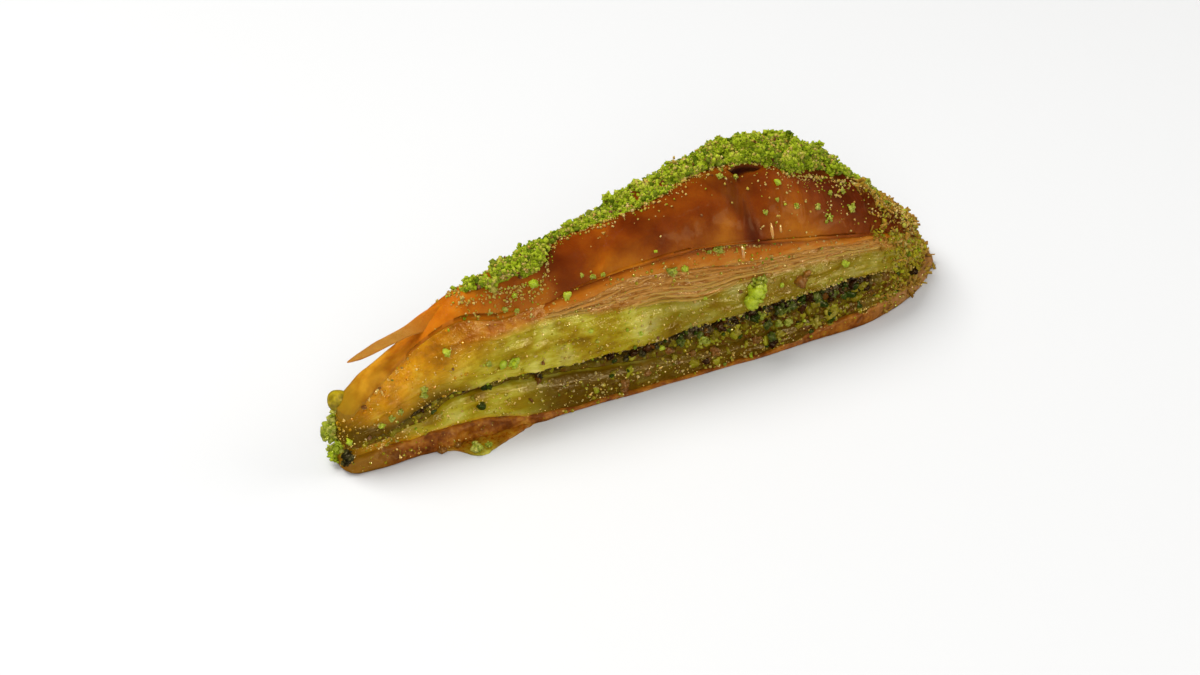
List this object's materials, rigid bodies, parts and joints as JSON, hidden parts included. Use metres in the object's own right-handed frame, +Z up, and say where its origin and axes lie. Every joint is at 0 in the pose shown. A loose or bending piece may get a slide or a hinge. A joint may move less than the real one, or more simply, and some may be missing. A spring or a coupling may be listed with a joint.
{
  "type": "slice of pistachio baklava",
  "caption": "Long wedge slice of syrup-soaked layered pastry with a nut filling, a puffed golden top and green nut crumbs along its crest.",
  "frame": {"origin": "middle of the slice's bounding box, at the flat base it lies on", "axes": "+X from the narrow tip towards the wide outer end, +Z up; the cut side that shows best faces -Y"},
  "size_m": [0.1938, 0.0476, 0.0572],
  "materials": {
    "soaked_leaf": "gloss",
    "soaked_nut": "satin",
    "baked_leaf": "gloss",
    "nut_crumb": "matte"
  },
  "bodies": {
    "root": {"lower_pastry": "soaked_leaf", "nut_filling": "soaked_nut", "upper_pastry": "baked_leaf", "crumb_heap": "nut_crumb"}
  },
  "joints": []
}
